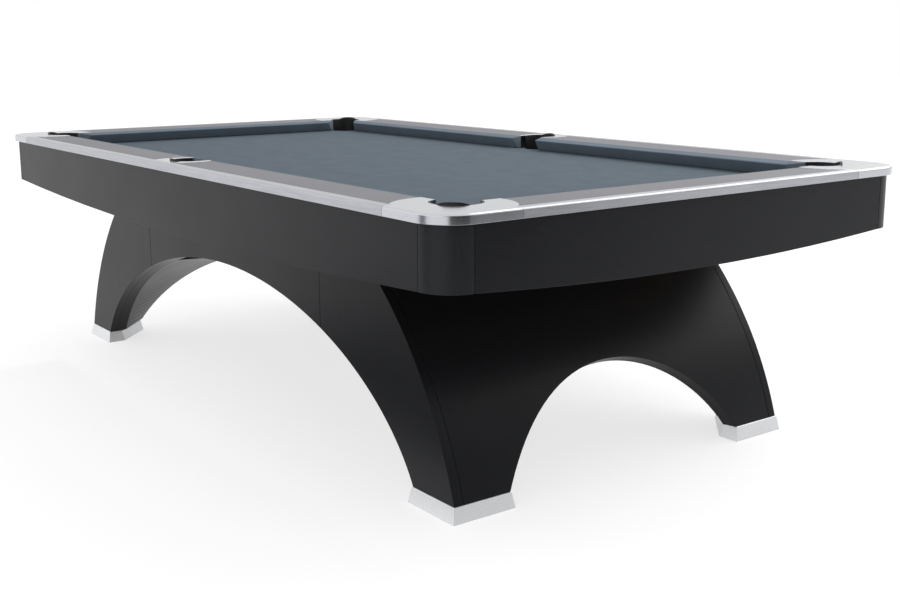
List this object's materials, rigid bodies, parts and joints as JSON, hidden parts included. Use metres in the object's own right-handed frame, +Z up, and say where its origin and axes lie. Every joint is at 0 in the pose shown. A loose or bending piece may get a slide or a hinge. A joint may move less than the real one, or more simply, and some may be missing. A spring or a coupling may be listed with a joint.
{
  "type": "pool table",
  "caption": "Pool table with cloth-covered slate bed, cushioned rails, drop pockets, metal trim and castings, bowed black aprons and an arched base on cast shoes with screw levellers.",
  "frame": {"origin": "on the floor below the middle of the table", "axes": "+X along the table's length, +Y across its width, +Z up"},
  "size_m": [2.92, 1.65, 0.8152],
  "materials": {
    "slate": "honed grey slate",
    "bed_cloth": "worsted wool cloth, slate blue",
    "rail_cloth": "worsted wool cloth over cushion rubber, slate blue",
    "frame_wood": "planed softwood",
    "zinc_steel": "zinc plated",
    "rail_cap": "rail core with a fine brushed grey facing",
    "trim_aluminium": "brushed and clear anodised",
    "cast_aluminium": "cast, satin polished",
    "shoe_aluminium": "cast, bead blasted",
    "pocket_rubber": "moulded black rubber",
    "apron_black": "satin black laminate on board",
    "base_black": "satin black laminate on bent board",
    "pad_rubber": "moulded black rubber"
  },
  "bodies": {
    "table": {"slate": "slate", "bed_cloth": "bed_cloth", "side_cushions": "rail_cloth", "end_cushions": "rail_cloth", "slate_frame": "frame_wood", "rail_bolts": "zinc_steel", "apron_brackets": "zinc_steel", "rail_side_1": "rail_cap", "rail_side_2": "rail_cap", "rail_side_3": "rail_cap", "rail_side_4": "rail_cap", "rail_end_1": "rail_cap", "rail_end_2": "rail_cap", "trim_side_1": "trim_aluminium", "trim_side_2": "trim_aluminium", "trim_end_1": "trim_aluminium", "trim_end_2": "trim_aluminium", "corner_casting_1": "cast_aluminium", "corner_casting_2": "cast_aluminium", "corner_casting_3": "cast_aluminium", "corner_casting_4": "cast_aluminium", "side_casting_1": "cast_aluminium", "side_casting_2": "cast_aluminium", "leg_shoe_1": "shoe_aluminium", "leg_shoe_2": "shoe_aluminium", "leg_shoe_3": "shoe_aluminium", "leg_shoe_4": "shoe_aluminium", "corner_pocket_1": "pocket_rubber", "corner_pocket_2": "pocket_rubber", "corner_pocket_3": "pocket_rubber", "corner_pocket_4": "pocket_rubber", "side_pocket_1": "pocket_rubber", "side_pocket_2": "pocket_rubber", "apron_side_1": "apron_black", "apron_side_2": "apron_black", "apron_end_1": "apron_black", "apron_end_2": "apron_black", "apron_corner_1": "apron_black", "apron_corner_2": "apron_black", "apron_corner_3": "apron_black", "apron_corner_4": "apron_black", "leg_panel_1": "base_black", "leg_panel_2": "base_black", "leg_panel_3": "base_black", "leg_panel_4": "base_black", "arch_panel_1": "base_black", "arch_panel_2": "base_black", "end_panel_1": "base_black", "end_panel_2": "base_black", "leg_skins": "base_black", "side_soffits": "base_black", "end_soffits": "base_black"},
    "pad_1": {"leveller_pad_1": "pad_rubber"},
    "pad_2": {"leveller_pad_2": "pad_rubber"},
    "pad_3": {"leveller_pad_3": "pad_rubber"},
    "pad_4": {"leveller_pad_4": "pad_rubber"},
    "stud_1": {"leveller_stud_1": "zinc_steel"},
    "stud_2": {"leveller_stud_2": "zinc_steel"},
    "stud_3": {"leveller_stud_3": "zinc_steel"},
    "stud_4": {"leveller_stud_4": "zinc_steel"}
  },
  "joints": [
    {"name": "pad_1_slide", "type": "slide", "parent": "table", "child": "pad_1", "axis": [0, 0, -1], "range_m": [0, 0.012]},
    {"name": "stud_1_turn", "type": "hinge", "parent": "pad_1", "child": "stud_1", "pos_m": [1.153, -0.543, 0.03], "axis": [0, 0, -1], "range_deg": [0, 2160]},
    {"name": "pad_2_slide", "type": "slide", "parent": "table", "child": "pad_2", "axis": [0, 0, -1], "range_m": [0, 0.012]},
    {"name": "stud_2_turn", "type": "hinge", "parent": "pad_2", "child": "stud_2", "pos_m": [-1.153, -0.543, 0.03], "axis": [0, 0, -1], "range_deg": [0, 2160]},
    {"name": "pad_3_slide", "type": "slide", "parent": "table", "child": "pad_3", "axis": [0, 0, -1], "range_m": [0, 0.012]},
    {"name": "stud_3_turn", "type": "hinge", "parent": "pad_3", "child": "stud_3", "pos_m": [-1.153, 0.543, 0.03], "axis": [0, 0, -1], "range_deg": [0, 2160]},
    {"name": "pad_4_slide", "type": "slide", "parent": "table", "child": "pad_4", "axis": [0, 0, -1], "range_m": [0, 0.012]},
    {"name": "stud_4_turn", "type": "hinge", "parent": "pad_4", "child": "stud_4", "pos_m": [1.153, 0.543, 0.03], "axis": [0, 0, -1], "range_deg": [0, 2160]}
  ],
  "couplings": [
    {"joint": "stud_1_turn", "follows": "pad_1_slide", "rad_per_m": 3141.6},
    {"joint": "stud_2_turn", "follows": "pad_2_slide", "rad_per_m": 3141.6},
    {"joint": "stud_3_turn", "follows": "pad_3_slide", "rad_per_m": 3141.6},
    {"joint": "stud_4_turn", "follows": "pad_4_slide", "rad_per_m": 3141.6}
  ]
}
